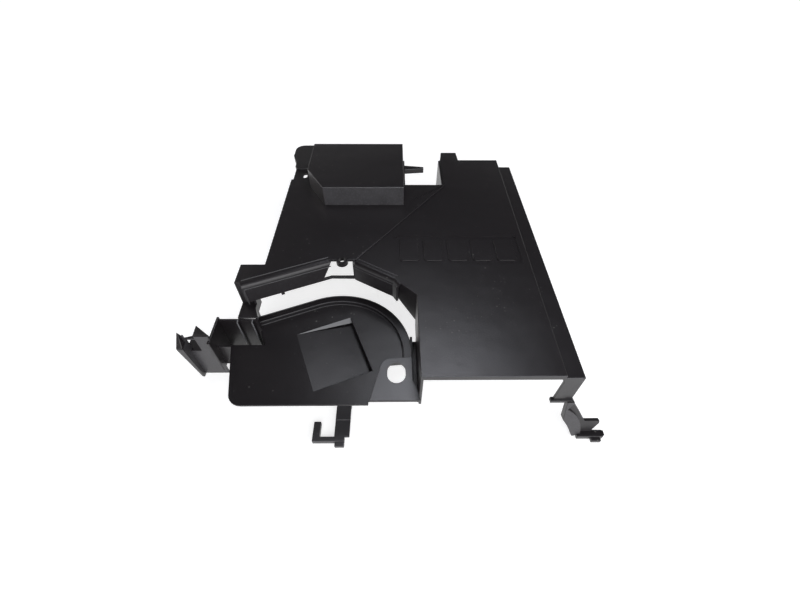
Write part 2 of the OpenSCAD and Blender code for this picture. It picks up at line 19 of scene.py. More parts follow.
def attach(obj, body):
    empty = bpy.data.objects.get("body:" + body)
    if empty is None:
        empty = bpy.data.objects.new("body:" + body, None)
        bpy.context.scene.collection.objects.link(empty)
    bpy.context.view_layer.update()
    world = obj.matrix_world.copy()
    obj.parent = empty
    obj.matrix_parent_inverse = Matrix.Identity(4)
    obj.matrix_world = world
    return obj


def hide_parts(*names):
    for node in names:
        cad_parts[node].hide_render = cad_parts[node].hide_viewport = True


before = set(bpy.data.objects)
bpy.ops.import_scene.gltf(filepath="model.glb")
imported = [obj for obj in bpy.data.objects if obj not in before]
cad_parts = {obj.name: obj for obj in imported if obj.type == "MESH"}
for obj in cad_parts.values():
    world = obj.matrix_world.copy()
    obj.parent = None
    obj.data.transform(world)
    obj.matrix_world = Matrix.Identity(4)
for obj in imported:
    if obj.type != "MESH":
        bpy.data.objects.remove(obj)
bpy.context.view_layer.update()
MM = 0.001
WELD = 0.001 * MM
SLOT_ANGLE = math.radians(22.0)
BODY = "root"
# Per-face share of edge wear and painted highlight, which the material paints a lighter grey.
EDGE_WEAR_AND_HIGHLIGHT = "edge_wear_and_highlight"
# Per-face amount of painted light on upright walls, set zone by zone on the shell; a low amount paints them
# as in shade.
WALL_LIGHT_MASK = "painted_wall_share"
LOG = logging.getLogger("shroud")

Place = tuple[float, float]
Point = tuple[float, float, float]
Colour = tuple[float, float, float]
Band = tuple[float, float]
Settings = dict[str, object]
Socket = bpy.types.NodeSocket


def mm(*values: float) -> tuple[float, ...]:
    """Gives lengths in metres from lengths in millimetres."""
    return tuple(v * MM for v in values)


def add_piece(name: str, mesh: bpy.types.Mesh) -> bpy.types.Object:
    """Puts a finished mesh in the scene as a piece that rides with the body.

    Args:
        name: Name of the piece.
        mesh: Its mesh, in metres and in place.

    Returns:
        The new piece.
    """
    piece = bpy.data.objects.new(name, mesh)
    bpy.context.scene.collection.objects.link(piece)
    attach(piece, BODY)
    LOG.info("%s: %d faces", name, len(mesh.polygons))
    return piece


# ---- Node trees ----


class NodeWriter:
    """Adds nodes to a node tree and joins them."""

    def __init__(self, tree: bpy.types.NodeTree) -> None:
        """Keeps the tree that gets the nodes."""
        self.tree = tree

    def feed(self, target: Socket, value: object) -> None:
        """Joins a socket to an input, or sets the input to a plain value.

        Args:
            target: The input.
            value: A socket or a plain value.
        """
        if isinstance(value, Socket):
            self.tree.links.new(value, target)
        else:
            target.default_value = value

    def node(self, kind: str, settings: Settings | None = None, **values: object) -> bpy.types.Node:
        """Adds a node.

        Args:
            kind: Blender's name of the node type.
            settings: Properties of the node.
            values: Sockets or plain values for its inputs, with _ for a space in their names.

        Returns:
            The new node.
        """
        made = self.tree.nodes.new(kind)
        for key, value in (settings or {}).items():
            setattr(made, key, value)
        for key, value in values.items():
            self.feed(made.inputs[key.replace("_", " ")], value)
        return made


class ShaderWriter(NodeWriter):
    """Adds the kinds of shader nodes that the finishes share."""

    def math(self, operation: str, first: object, second: object, clamp: bool = False) -> Socket:
        """Adds a math node.

        Args:
            operation: Name of the operation.
            first: A socket or a number.
            second: A socket or a number.
            clamp: Whether the result is held between 0 and 1.

        Returns:
            The result's socket.
        """
        made = self.node("ShaderNodeMath", {"operation": operation, "use_clamp": clamp})
        self.feed(made.inputs[0], first)
        self.feed(made.inputs[1], second)
        return made.outputs[0]

    def ramp(self, value: Socket, low: object, high: object) -> Socket:
        """Maps a value smoothly to 0 at one end and to 1 at the other.

        Args:
            value: The value's socket.
            low: A socket or a number that gives 0.
            high: A socket or a number that gives 1.

        Returns:
            The result's socket.
        """
        smooth = {"interpolation_type": "SMOOTHSTEP"}
        made = self.node("ShaderNodeMapRange", smooth, Value=value, From_Min=low, From_Max=high)
        return made.outputs["Result"]

    def noise(self, vector: Socket, scale: object, detail: float) -> Socket:
        """Adds a noise texture.

        Args:
            vector: Where it is sampled.
            scale: A socket or a number.
            detail: How many finer layers it has.

        Returns:
            The noise's socket.
        """
        return self.node("ShaderNodeTexNoise", Vector=vector, Scale=scale, Detail=detail).outputs["Fac"]

    def height_share(self, normal: Socket) -> Socket:
        """Gives how far a normal points up, from -1 to 1."""
        return self.node("ShaderNodeSeparateXYZ", Vector=normal).outputs["Z"]

    def mix(self, mask: Socket, first: object, second: object) -> Socket:
        """Mixes two colours or two numbers by a mask.

        Args:
            mask: 0 for the first and 1 for the second.
            first: A socket, a colour or a number.
            second: A colour or a number.

        Returns:
            The result's socket.
        """
        coloured = isinstance(second, tuple)
        made = self.node("ShaderNodeMix", {"data_type": "RGBA" if coloured else "FLOAT"})
        # The node's sockets share their names, so each kind is found by its place in the list.
        low, high, out = (6, 7, 2) if coloured else (2, 3, 0)
        self.feed(made.inputs[0], mask)
        for index, value in ((low, first), (high, second)):
            self.feed(made.inputs[index], (*value, 1.0) if isinstance(value, tuple) else value)
        return made.outputs[out]

    def layered(self, base: object, *layers: tuple[Socket, object]) -> Socket:
        """Lays colours or numbers over a base, one after another.

        Args:
            base: A colour or a number.
            layers: A mask and a colour or number for each layer.

        Returns:
            The result's socket.
        """
        result = base
        for mask, value in layers:
            result = self.mix(mask, result, value)
        return result

    def placed(self, group: bpy.types.NodeTree, **values: object) -> Socket:
        """Adds a shared group to the tree.

        Args:
            group: The group.
            values: Sockets or plain values for its inputs.

        Returns:
            The group's output.
        """
        return self.node("ShaderNodeGroup", {"node_tree": group}, **values).outputs[0]


class ShaderGroup(ShaderWriter):
    """Builds one shared shader node group with a Vector input, named numbers and one output."""

    def __init__(self, name: str, **numbers: float) -> None:
        """Starts the group.

        Args:
            name: Name of the group.
            numbers: Its other inputs, with their defaults.
        """
        super().__init__(bpy.data.node_groups.new(name, "ShaderNodeTree"))
        entry = self.tree.nodes.new("NodeGroupInput")
        self.exit = self.tree.nodes.new("NodeGroupOutput")
        self.tree.interface.new_socket("Vector", in_out="INPUT", socket_type="NodeSocketVector")
        for key, default in numbers.items():
            made = self.tree.interface.new_socket(key, in_out="INPUT", socket_type="NodeSocketFloat")
            made.default_value = default
        self.inputs = entry.outputs
        self.vector = self.inputs["Vector"]

    def give(self, name: str, value: Socket) -> bpy.types.NodeTree:
        """Closes the group with its output.

        Args:
            name: Name of the output.
            value: The socket that feeds it.

        Returns:
            The finished group.
        """
        self.tree.interface.new_socket(name, in_out="OUTPUT", socket_type="NodeSocketFloat")
        self.feed(self.exit.inputs[name], value)
        return self.tree


# ---- Shared surface effects ----


@dataclass(frozen=True)
class MouldGrain:
    """The spark-eroded grain of the mould: fine pits with a coarser waviness."""

    pit_softness: float = 0.7
    pit_share: float = 0.7
    fine_ratio: float = 1.7
    fine_detail: float = 3.0
    fine_share: float = 0.5
    wave_scale: float = 34.0
    wave_detail: float = 2.0

    def group(self) -> bpy.types.NodeTree:
        """Builds the effect.

        Returns:
            A group with inputs Vector, Scale and Waves, and output Height.
        """
        g = ShaderGroup("mould_grain", Scale=900.0, Waves=0.2)
        scale = g.inputs["Scale"]
        pits = g.node(
            "ShaderNodeTexVoronoi", {"feature": "SMOOTH_F1"},
            Vector=g.vector, Scale=scale, Smoothness=self.pit_softness,
        )
        fine = g.noise(g.vector, g.math("MULTIPLY", scale, self.fine_ratio), self.fine_detail)
        waves = g.noise(g.vector, self.wave_scale, self.wave_detail)
        pitted = g.math("MULTIPLY", pits.outputs["Distance"], self.pit_share)
        grain = g.math("ADD", pitted, g.math("MULTIPLY", fine, self.fine_share))
        return g.give("Height", g.math("ADD", grain, g.math("MULTIPLY", waves, g.inputs["Waves"])))


@dataclass(frozen=True)
class DustSpecks:
    """Specks of dust, scattered unevenly and only on faces that look up."""

    rarity: float = 4.0
    largest: float = 0.4
    core: float = 0.4
    drift_scale: float = 26.0
    drift_detail: float = 3.0
    drift_band: Band = (0.44, 0.7)
    facing_band: Band = (0.2, 0.9)

    def group(self) -> bpy.types.NodeTree:
        """Builds the effect.

        Returns:
            A group with inputs Vector, Scale and Amount, and output Mask.
        """
        g = ShaderGroup("dust_specks", Scale=420.0, Amount=0.5)
        scale = g.inputs["Scale"]
        cells = g.node("ShaderNodeTexVoronoi", {"feature": "F1"}, Vector=g.vector, Scale=scale)
        chance = g.node("ShaderNodeSeparateColor", Color=cells.outputs["Color"]).outputs[0]
        radius = g.math("MULTIPLY", g.math("POWER", chance, self.rarity), self.largest)
        outside = g.ramp(cells.outputs["Distance"], g.math("MULTIPLY", radius, self.core), radius)
        specks = g.math("SUBTRACT", 1.0, outside)
        drifts = g.ramp(g.noise(g.vector, self.drift_scale, self.drift_detail), *self.drift_band)
        up = g.height_share(g.node("ShaderNodeNewGeometry").outputs["Normal"])
        facing = g.ramp(up, *self.facing_band)
        amount = g.math("MULTIPLY", facing, g.inputs["Amount"])
        return g.give("Mask", g.math("MULTIPLY", g.math("MULTIPLY", specks, drifts), amount))


@dataclass(frozen=True)
class PaintedWallLight:
    """Painted light: an uneven lighter grey on upright walls, standing in for the light they catch from the
    front.
    """

    upright_band: Band = (0.25, 0.8)
    patch_scale: float = 70.0
    patch_detail: float = 3.0
    patch_share: float = 0.9
    speck_scale: float = 620.0
    speck_detail: float = 2.0
    speck_band: Band = (0.5, 0.75)
    speck_share: float = 0.8
    even_share: float = 0.3

    def group(self) -> bpy.types.NodeTree:
        """Builds the effect.

        Returns:
            A group with inputs Vector and Amount, and output Mask.
        """
        g = ShaderGroup("painted_wall_light", Amount=0.1)
        up = g.height_share(g.node("ShaderNodeNewGeometry").outputs["True Normal"])
        steep = g.node("ShaderNodeMath", {"operation": "ABSOLUTE"}, Value=up).outputs[0]
        upright = g.math("SUBTRACT", 1.0, g.ramp(steep, *self.upright_band))
        coarse = g.noise(g.vector, self.patch_scale, self.patch_detail)
        fine = g.ramp(g.noise(g.vector, self.speck_scale, self.speck_detail), *self.speck_band)
        patches = g.math("MULTIPLY", coarse, self.patch_share)
        uneven = g.math("ADD", patches, g.math("MULTIPLY", fine, self.speck_share))
        wall_lightness = g.math("ADD", uneven, self.even_share)
        amount = g.math("MULTIPLY", upright, g.inputs["Amount"])
        return g.give("Mask", g.math("MULTIPLY", amount, wall_lightness, clamp=True))


@dataclass(frozen=True)
class HandlingScuffs:
    """Faint streaks of rubbing that run three ways, and cloudy handling marks."""

    runs: tuple[tuple[float, float], ...] = ((0.35, 260.0), (-0.6, 190.0), (1.45, 310.0))
    stretch: float = 26.0
    streak_ratio: float = 9.0
    streak_detail: float = 2.0
    streak_band: Band = (0.66, 0.78)
    patch_ratio: float = 8.0
    patch_detail: float = 1.0
    patch_band: Band = (0.52, 0.66)
    cloud_scale: float = 95.0
    cloud_detail: float = 4.0
    cloud_band: Band = (0.45, 0.66)
    cloud_share: float = 0.5
    touch_scale: float = 11.0
    touch_detail: float = 1.0
    touch_band: Band = (0.42, 0.62)

    def group(self) -> bpy.types.NodeTree:
        """Builds the effect.

        Returns:
            A group with inputs Vector and Amount, and output Mask.
        """
        g = ShaderGroup("handling_scuffs", Amount=0.5)
        clouds = g.ramp(g.noise(g.vector, self.cloud_scale, self.cloud_detail), *self.cloud_band)
        touched = g.ramp(g.noise(g.vector, self.touch_scale, self.touch_detail), *self.touch_band)
        marks = g.math("MULTIPLY", g.math("MULTIPLY", clouds, self.cloud_share), touched)
        for turn, fineness in self.runs:
            marks = g.math("MAXIMUM", marks, self.streaks(g, turn, fineness))
        return g.give("Mask", g.math("MULTIPLY", marks, g.inputs["Amount"]))

    def streaks(self, g: ShaderGroup, turn: float, fineness: float) -> Socket:
        """Adds patches of streaks that run one way.

        Args:
            g: The group.
            turn: Their direction in plan, in radians.
            fineness: How fine they are.

        Returns:
            The streaks' mask.
        """
        squeeze = 1.0 / self.stretch
        turned = g.node(
            "ShaderNodeMapping", {"vector_type": "TEXTURE"},
            Vector=g.vector, Rotation=(0.0, 0.0, turn), Scale=(1.0, squeeze, squeeze),
        ).outputs["Vector"]
        lines = g.noise(turned, fineness / self.streak_ratio, self.streak_detail)
        patches = g.noise(g.vector, fineness / self.patch_ratio, self.patch_detail)
        return g.math("MULTIPLY", g.ramp(lines, *self.streak_band), g.ramp(patches, *self.patch_band))


# ---- Finishes ----


@dataclass(frozen=True)
class MouldedPlastic:
    """Black moulded plastic with a satin sheen, painted light on upright walls, edges with rubbing and
    painted highlights, scuffs and dust.
    """

    name: str
    colour: Colour = (0.0094, 0.0077, 0.0088)
    wall_light_colour: Colour = (0.052, 0.05, 0.054)
    worn_and_highlight_colour: Colour = (0.1, 0.1, 0.106)
    dust_colour: Colour = (0.11, 0.107, 0.1)
    roughness: float = 0.33
    wall_roughness: float = 0.42
    scuffed_roughness: float = 0.43
    edge_roughness: float = 0.3
    dusty_roughness: float = 0.9
    ior: float = 1.5
    grain_scale: float = 900.0
    grain_height: float = 0.00005
    grain_strength: float = 0.6
    waves: float = 11.0
    dust: float = 0.9
    scuffs: float = 0.45
    rubbed_and_highlight: float = 0.45
    smeared: float = 0.03

    def material(self, groups: dict[str, bpy.types.NodeTree]) -> bpy.types.Material:
        """Builds the material.

        Args:
            groups: The shared shader node groups, by name.

        Returns:
            The new material.
        """
        made = bpy.data.materials.new(self.name)
        made.use_nodes = True
        made.diffuse_color = (*self.colour, 1.0)
        shader = made.node_tree.nodes["Principled BSDF"]
        w = ShaderWriter(made.node_tree)
        where = w.node("ShaderNodeTexCoord").outputs["Object"]
        # Painted light: upright walls are painted a lighter grey by each face's zone amount, standing in
        # for the front light they catch.
        wall_lightness = w.node("ShaderNodeAttribute", {"attribute_name": WALL_LIGHT_MASK}).outputs["Fac"]
        edges = w.node("ShaderNodeAttribute", {"attribute_name": EDGE_WEAR_AND_HIGHLIGHT}).outputs["Fac"]
        walls = w.placed(groups["painted_wall_light"], Vector=where, Amount=wall_lightness)
        dust = w.placed(groups["dust_specks"], Vector=where, Amount=self.dust)
        scuffs = w.placed(groups["handling_scuffs"], Vector=where, Amount=self.scuffs)
        # Painted highlight, partly real wear: rounded edges, rubbed zones and trim are mixed towards a
        # lighter grey.
        rubbed_and_highlight = w.math("MULTIPLY", edges, self.rubbed_and_highlight, clamp=True)
        smeared = w.math("MULTIPLY", scuffs, self.smeared)
        # The colour carries painted light on upright walls and painted highlights on edges and trim, over
        # smears and dust.
        colour = w.layered(
            self.colour,
            (walls, self.wall_light_colour), (smeared, self.worn_and_highlight_colour),
            (rubbed_and_highlight, self.worn_and_highlight_colour), (dust, self.dust_colour),
        )
        roughness = w.layered(
            self.roughness,
            (walls, self.wall_roughness), (scuffs, self.scuffed_roughness),
            (rubbed_and_highlight, self.edge_roughness), (dust, self.dusty_roughness),
        )
        grain = w.placed(groups["mould_grain"], Vector=where, Scale=self.grain_scale, Waves=self.waves)
        depth, strength = self.grain_height, self.grain_strength
        bump = w.node("ShaderNodeBump", Distance=depth, Strength=strength, Height=grain)
        w.feed(shader.inputs["Base Color"], colour)
        w.feed(shader.inputs["Roughness"], roughness)
        w.feed(shader.inputs["Normal"], bump.outputs["Normal"])
        shader.inputs["IOR"].default_value = self.ior
        return made


# ---- The moulded shell ----


@dataclass(frozen=True)
class Patch:
    """A part of the shell whose surface differs.

    Attributes:
        low: Its lowest corner.
        high: Its highest corner.
        wall: Painted light on its upright walls, from 0 to 1; a low value paints them dark as in shade.
        rub_and_highlight: Rubbing and painted highlight on its faces that look up.
    """

    low: Point
    high: Point
    wall: float = 0.0
    rub_and_highlight: float = 0.0

    def holds(self, place: Vector) -> bool:
        """Tells whether a place in millimetres lies in the patch."""
        return all(self.low[k] <= place[k] <= self.high[k] for k in range(3))


class Zone(Enum):
    """Parts of the shell whose painted light, painted shade and rubbing differ, in millimetres. A later one
    goes over an earlier one.
    """

    # Wall amounts paint light on walls that face the front lamp; where they are low they paint shade.
    BOX_FRONT = Patch((-60.0, 41.0, 60.0), (12.0, 44.0, 84.5), wall=1.0)
    # Painted shade: the box's left corner takes no wall light.
    BOX_CORNER = Patch((-76.0, 44.0, 60.0), (-57.0, 72.0, 84.5))
    LEFT_BRACKET = Patch((-143.9, -86.0, -0.1), (-125.0, -83.0, 50.0), wall=1.0)
    # Painted highlight: the cover's front lip is painted lighter.
    COVER_LIP = Patch((18.0, -127.0, 58.0), (119.0, -125.5, 65.5), wall=1.0, rub_and_highlight=2.0)
    # Painted shade: the pocket's walls take no wall light.
    POCKET = Patch((-127.5, -82.5, 5.0), (-93.0, -48.0, 45.0))
    SLOT_WALL = Patch((-110.0, -64.0, 45.0), (8.0, -25.0, 63.0), wall=0.26)
    # Painted highlight, partly wear: the pull tab's top is painted lighter.
    PULL_TAB = Patch((-13.5, -127.5, 30.0), (20.0, -93.0, 37.0), wall=0.3, rub_and_highlight=1.35)
    # Painted light on the hook's walls and a painted highlight on its top, partly wear.
    FRONT_HOOK = Patch((-55.0, -144.0, -0.1), (-28.0, -114.0, 30.0), wall=1.0, rub_and_highlight=0.75)
    RIGHT_ARM = Patch((100.0, -128.5, 25.0), (120.5, -120.0, 61.0), wall=0.16, rub_and_highlight=0.5)
    RIGHT_STRUT = Patch((110.0, -144.0, 1.0), (127.5, -125.0, 34.0), wall=1.0)


@dataclass
class RoundedShell:
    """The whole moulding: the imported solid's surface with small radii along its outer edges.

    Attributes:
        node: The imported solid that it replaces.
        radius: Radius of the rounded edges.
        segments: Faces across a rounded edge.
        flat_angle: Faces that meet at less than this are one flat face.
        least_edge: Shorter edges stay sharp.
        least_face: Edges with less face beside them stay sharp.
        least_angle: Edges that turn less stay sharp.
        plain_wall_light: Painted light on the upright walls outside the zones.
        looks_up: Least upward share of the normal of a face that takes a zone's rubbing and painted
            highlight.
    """

    node: str = "baffle_shell"
    radius: float = 0.42 * MM
    segments: int = 2
    flat_angle: float = math.radians(0.6)
    least_edge: float = 1.5 * MM
    least_face: float = 0.78 * MM
    least_angle: float = math.radians(24.0)
    plain_wall_light: float = 0.13
    looks_up: float = 0.5

    def build(self, finish: bpy.types.Material) -> None:
        """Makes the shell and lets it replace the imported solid.

        Args:
            finish: Its material.
        """
        mesh = self.merged_copy()
        rounded = self.round_edges(mesh)
        mesh.materials.clear()
        mesh.materials.append(finish)
        shell = add_piece("moulded_shell", mesh)
        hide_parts(self.node)
        LOG.info("moulded_shell: %d edges rounded", rounded)

    def merged_copy(self) -> bpy.types.Mesh:
        """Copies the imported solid's mesh, joined and with its flat faces whole.

        Returns:
            The copy.
        """
        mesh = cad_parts[self.node].data.copy()
        mesh.name = "moulded_shell"
        shape = bmesh.new()
        shape.from_mesh(mesh)
        bmesh.ops.remove_doubles(shape, verts=shape.verts, dist=WELD)
        bmesh.ops.dissolve_limit(
            shape, angle_limit=self.flat_angle, use_dissolve_boundaries=False,
            verts=shape.verts, edges=shape.edges,
        )
        shape.to_mesh(mesh)
        shape.free()
        return mesh

    def room(self, edge: bmesh.types.BMEdge) -> bool:
        """Tells whether an edge is an outer corner with enough face on both sides.

        Args:
            edge: An edge of the merged shell.

        Returns:
            Whether it can be rounded.
        """
        if len(edge.link_faces) != 2 or edge.calc_length() < self.least_edge:
            return False
        if not edge.is_convex or edge.calc_face_angle(0.0) < self.least_angle:
            return False
        return all(self.wide(face) and self.clear(face, edge) for face in edge.link_faces)

    def wide(self, face: bmesh.types.BMFace) -> bool:
        """Tells whether a face is wide enough to lose a strip along an edge."""
        return face.calc_area() / max(e.calc_length() for e in face.edges) >= self.least_face / 2

    def clear(self, face: bmesh.types.BMFace, edge: bmesh.types.BMEdge) -> bool:
        """Tells whether a face's far edges all lie clear of the middle of one of its edges.

        Args:
            face: The face.
            edge: One of its edges.

        Returns:
            Whether no far edge comes too near.
        """
        middle = (edge.verts[0].co + edge.verts[1].co) / 2
        for other in face.edges:
            if any(v in edge.verts for v in other.verts):
                continue
            start, run = other.verts[0].co, other.verts[1].co - other.verts[0].co
            reach = run.length_squared
            share = min(max((middle - start).dot(run) / reach, 0.0), 1.0) if reach > 0 else 0.0
            if (middle - start - share * run).length < self.least_face:
                return False
        return True

    def round_edges(self, mesh: bpy.types.Mesh) -> int:
        """Bevels the outer edges that have room, and marks the faces for the material.

        Args:
            mesh: The shell's mesh, which is changed.

        Returns:
            How many edges were rounded.
        """
        shape = bmesh.new()
        shape.from_mesh(mesh)
        chosen = [e for e in shape.edges if self.room(e)]
        made = bmesh.ops.bevel(
            shape, geom=chosen, offset=self.radius, offset_type="OFFSET", segments=self.segments,
            profile=0.5, affect="EDGES", clamp_overlap=False, loop_slide=True,
        )
        # Rounded faces are marked for edge wear and a painted highlight.
        wear_highlight_layer = shape.faces.layers.float.new(EDGE_WEAR_AND_HIGHLIGHT)
        for face in made["faces"]:
            if face.is_valid:
                face[wear_highlight_layer] = 1.0
                face.smooth = True
        self.mark_zones(shape, wear_highlight_layer)
        shape.to_mesh(mesh)
        shape.free()
        return len(chosen)

    def mark_zones(self, shape: bmesh.types.BMesh, wear_highlight_layer: bmesh.types.BMLayerItem) -> None:
        """Marks every face with the painted wall light and the rubbing and painted highlight of the zone it
        lies in.

        Args:
            shape: The shell, which is changed.
            wear_highlight_layer: The layer that holds the rubbing and the painted highlight.
        """
        matt = shape.faces.layers.float.new(WALL_LIGHT_MASK)
        for face in shape.faces:
            middle = face.calc_center_median() / MM
            face[matt] = self.plain_wall_light
            for patch in (zone.value for zone in Zone):
                if patch.holds(middle):
                    face[matt] = patch.wall
                    face[wear_highlight_layer] = max(face[wear_highlight_layer], patch.rub_and_highlight if face.normal.z > self.looks_up else 0.0)


# ---- Trim made by node trees along guide lines ----


class TrimTree(NodeWriter):
    """Builds one Geometry Nodes tree, node after node, with named inputs."""

    def __init__(self, name: str) -> None:
        """Starts the tree with its geometry sockets.

        Args:
            name: Name of the tree.
        """
        super().__init__(bpy.data.node_groups.new(name, "GeometryNodeTree"))
        for way in ("INPUT", "OUTPUT"):
            self.tree.interface.new_socket("Geometry", in_out=way, socket_type="NodeSocketGeometry")
        self.entry = self.tree.nodes.new("NodeGroupInput")
        self.exit = self.tree.nodes.new("NodeGroupOutput")
        self.flow = self.entry.outputs["Geometry"]

    def number_in(self, name: str, default: float) -> Socket:
        """Adds a named number.

        Args:
            name: Name of the input.
            default: Its default.

        Returns:
            The socket that gives it.
        """
        made = self.tree.interface.new_socket(name, in_out="INPUT", socket_type="NodeSocketFloat")
        made.default_value = default
        return self.entry.outputs[name]

    def then(self, kind: str, settings: Settings | None = None, **values: object) -> None:
        """Adds a node that the geometry runs through.

        Args:
            kind: Blender's name of the node type.
            settings: Properties of the node.
            values: Sockets or plain values for its inputs, with _ for a space in their names.
        """
        made = self.node(kind, settings, **values)
        self.feed(made.inputs[0], self.flow)
        self.flow = made.outputs[0]

    def finish(self) -> bpy.types.NodeTree:
        """Marks the surface with wear and a painted highlight, realises instances, sets the material and
        closes the tree.

        Returns:
            The finished tree, with inputs Wear and Finish added.
        """
        wear = self.number_in("Wear", 0.5)
        self.tree.interface.new_socket("Finish", in_out="INPUT", socket_type="NodeSocketMaterial")
        self.then("GeometryNodeRealizeInstances")
        marked = {"data_type": "FLOAT", "domain": "POINT"}
        self.then("GeometryNodeStoreNamedAttribute", marked, Name=EDGE_WEAR_AND_HIGHLIGHT, Value=wear)
        self.then("GeometryNodeSetShadeSmooth")
        self.then("GeometryNodeSetMaterial", Material=self.entry.outputs["Finish"])
        self.feed(self.exit.inputs["Geometry"], self.flow)
        return self.tree


def bead_tree(sides: int = 10) -> bpy.types.NodeTree:
    """Makes the tree that runs a round bead along every line of a mesh.

    Args:
        sides: Faces round the bead.

    Returns:
        A tree with inputs Radius, Bend, Wear and Finish.
    """
    t = TrimTree("bead_along_path")
    radius, bend = t.number_in("Radius", 0.0005), t.number_in("Bend", 0.001)
    t.then("GeometryNodeMeshToCurve")
    t.then("GeometryNodeFilletCurve", Radius=bend, Limit_Radius=True)
    ring = t.node("GeometryNodeCurvePrimitiveCircle", Resolution=sides, Radius=radius)
    t.then("GeometryNodeCurveToMesh", Profile_Curve=ring.outputs["Curve"], Fill_Caps=True)
    return t.finish()


def mark_tree(sides: int = 24) -> bpy.types.NodeTree:
    """Makes the tree that sets a low round mark on every point of a mesh.

    Args:
        sides: Faces round the mark.

    Returns:
        A tree with inputs Radius, Height, Wear and Finish.
    """
    t = TrimTree("mark_on_points")
    radius, height = t.number_in("Radius", 0.0025), t.number_in("Height", 0.0003)
    disc = t.node("GeometryNodeMeshCylinder", Vertices=sides, Radius=radius, Depth=height)
    t.then("GeometryNodeMeshToPoints")
    t.then("GeometryNodeInstanceOnPoints", Instance=disc.outputs["Mesh"])
    return t.finish()


@dataclass
class TreePiece:
    """A piece made by a node tree from guide lines in millimetres, or from single guide points."""

    name: str
    lines: list[list[Point]]
    sizes: dict[str, float]

    def build(self, tree: bpy.types.NodeTree, finish: bpy.types.Material) -> None:
        """Makes the piece as a plain mesh.

        Args:
            tree: The tree that makes it.
            finish: Its material.
        """
        guide = self.guide()
        modifier = guide.modifiers.new("tree", "NODES")
        modifier.node_group = tree
        for item in tree.interface.items_tree:
            if item.item_type == "SOCKET" and item.in_out == "INPUT" and item.name != "Geometry":
                modifier[item.identifier] = finish if item.name == "Finish" else self.sizes[item.name]
        mesh = bpy.data.meshes.new_from_object(guide.evaluated_get(bpy.context.evaluated_depsgraph_get()))
        mesh.name = self.name
        guide.modifiers.remove(modifier)
        bpy.data.objects.remove(guide)
        add_piece(self.name, mesh)

    def guide(self) -> bpy.types.Object:
        """Makes the object that holds the guide lines.

        Returns:
            The guide, with one edge for each stretch of a line.
        """
        points = [mm(*p) for line in self.lines for p in line]
        edges, first = [], 0
        for line in self.lines:
            edges += [(first + i, first + i + 1) for i in range(len(line) - 1)]
            first += len(line)
        mesh = bpy.data.meshes.new(self.name + "_guide")
        mesh.from_pydata(points, edges, [])
        guide = bpy.data.objects.new(self.name + "_guide", mesh)
        bpy.context.scene.collection.objects.link(guide)
        return guide


@dataclass
class SlotBeads:
    """Fine beads along the shoulder of the cable slot, two on each run, and one down its left end.

    Attributes:
        left: Both ends of the slot's rear edge, left of the screw boss.
        right: Both ends of the slot's rear edge, right of it.
        deck_z: Height of the roof over the left run.
        cover_z: Height of the roof over the right run.
        rows: How far forward of the edge and how far above the roof each bead lies.
        end_bead: Steps from the left end of the edge to the points of the upright bead.
    """

    left: tuple[Place, Place] = ((-106.75, -50.49), (-46.75, -26.25))
    right: tuple[Place, Place] = ((-26.75, -26.25), (4.25, -44.9))
    deck_z: float = 66.0
    cover_z: float = 64.8
    rows: tuple[tuple[float, float], ...] = ((-2.3, -0.1), (3.45, -4.4))
    end_bead: tuple[Point, ...] = ((1.0, -2.0, -2.0), (1.4, -3.4, -5.0), (1.4, -3.4, -20.0))
    radius: float = 0.42
    bend: float = 2.0
    # Wear and painted highlight: the beads are painted lighter than the slot wall.
    wear: float = 0.95

    def along(self, run: tuple[Place, Place], top: float) -> list[list[Point]]:
        """Gives the lines beside one run of the slot's rear edge.

        Args:
            run: The two ends of the run.
            top: Height of the roof there.

        Returns:
            One line for each bead.
        """
        (x0, y0), (x1, y1) = run
        far = math.hypot(x1 - x0, y1 - y0)
        across = ((y1 - y0) / far, -(x1 - x0) / far)
        beads = []
        for out, up in self.rows:
            beads.append([(x + out * across[0], y + out * across[1], top + up) for x, y in run])
        return beads

    def build(self, tree: bpy.types.NodeTree, finish: bpy.types.Material) -> None:
        """Makes the beads.

        Args:
            tree: The tree that runs beads along lines.
            finish: Their material.
        """
        x, y = self.left[0]
        upright = [(x + dx, y + dy, self.deck_z + dz) for dx, dy, dz in self.end_bead]
        lines = [*self.along(self.left, self.deck_z), *self.along(self.right, self.cover_z), upright]
        sizes = {"Radius": self.radius * MM, "Bend": self.bend * MM, "Wear": self.wear}
        TreePiece("slot_shoulder_beads", lines, sizes).build(tree, finish)


